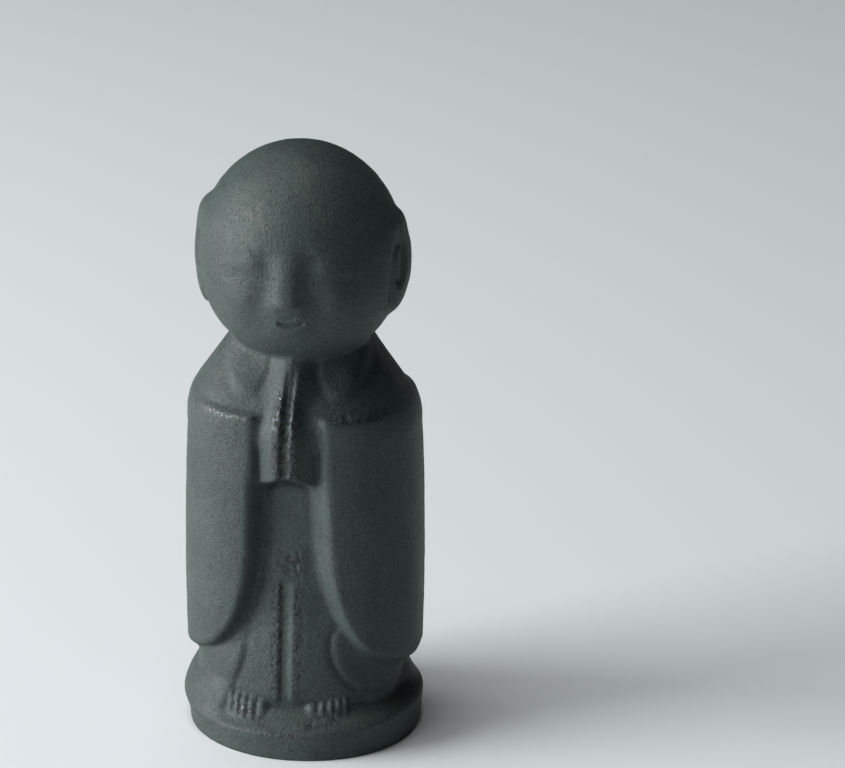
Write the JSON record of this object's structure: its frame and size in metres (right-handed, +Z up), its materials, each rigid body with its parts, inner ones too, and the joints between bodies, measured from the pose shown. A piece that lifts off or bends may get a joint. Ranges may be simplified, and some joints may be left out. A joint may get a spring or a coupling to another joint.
{
  "type": "jizo figurine",
  "caption": "Small cast-iron jizo figure with closed eyes and joined hands, long sleeved robe and bare feet, standing on a low oval base cast in one with it.",
  "frame": {"origin": "centre of the figure's outline seen from above, on the underside of the base", "axes": "+Z up along the figure's height, front and face towards -Y, +X to the right of the figure seen from the front"},
  "size_m": [0.035, 0.0328, 0.09],
  "materials": {
    "patinated_iron": "sand-cast skin under a matt dark grey-green patina, rubbed to bare metal on the crests"
  },
  "bodies": {
    "root": {"jizo_figure": "patinated_iron"}
  },
  "joints": []
}
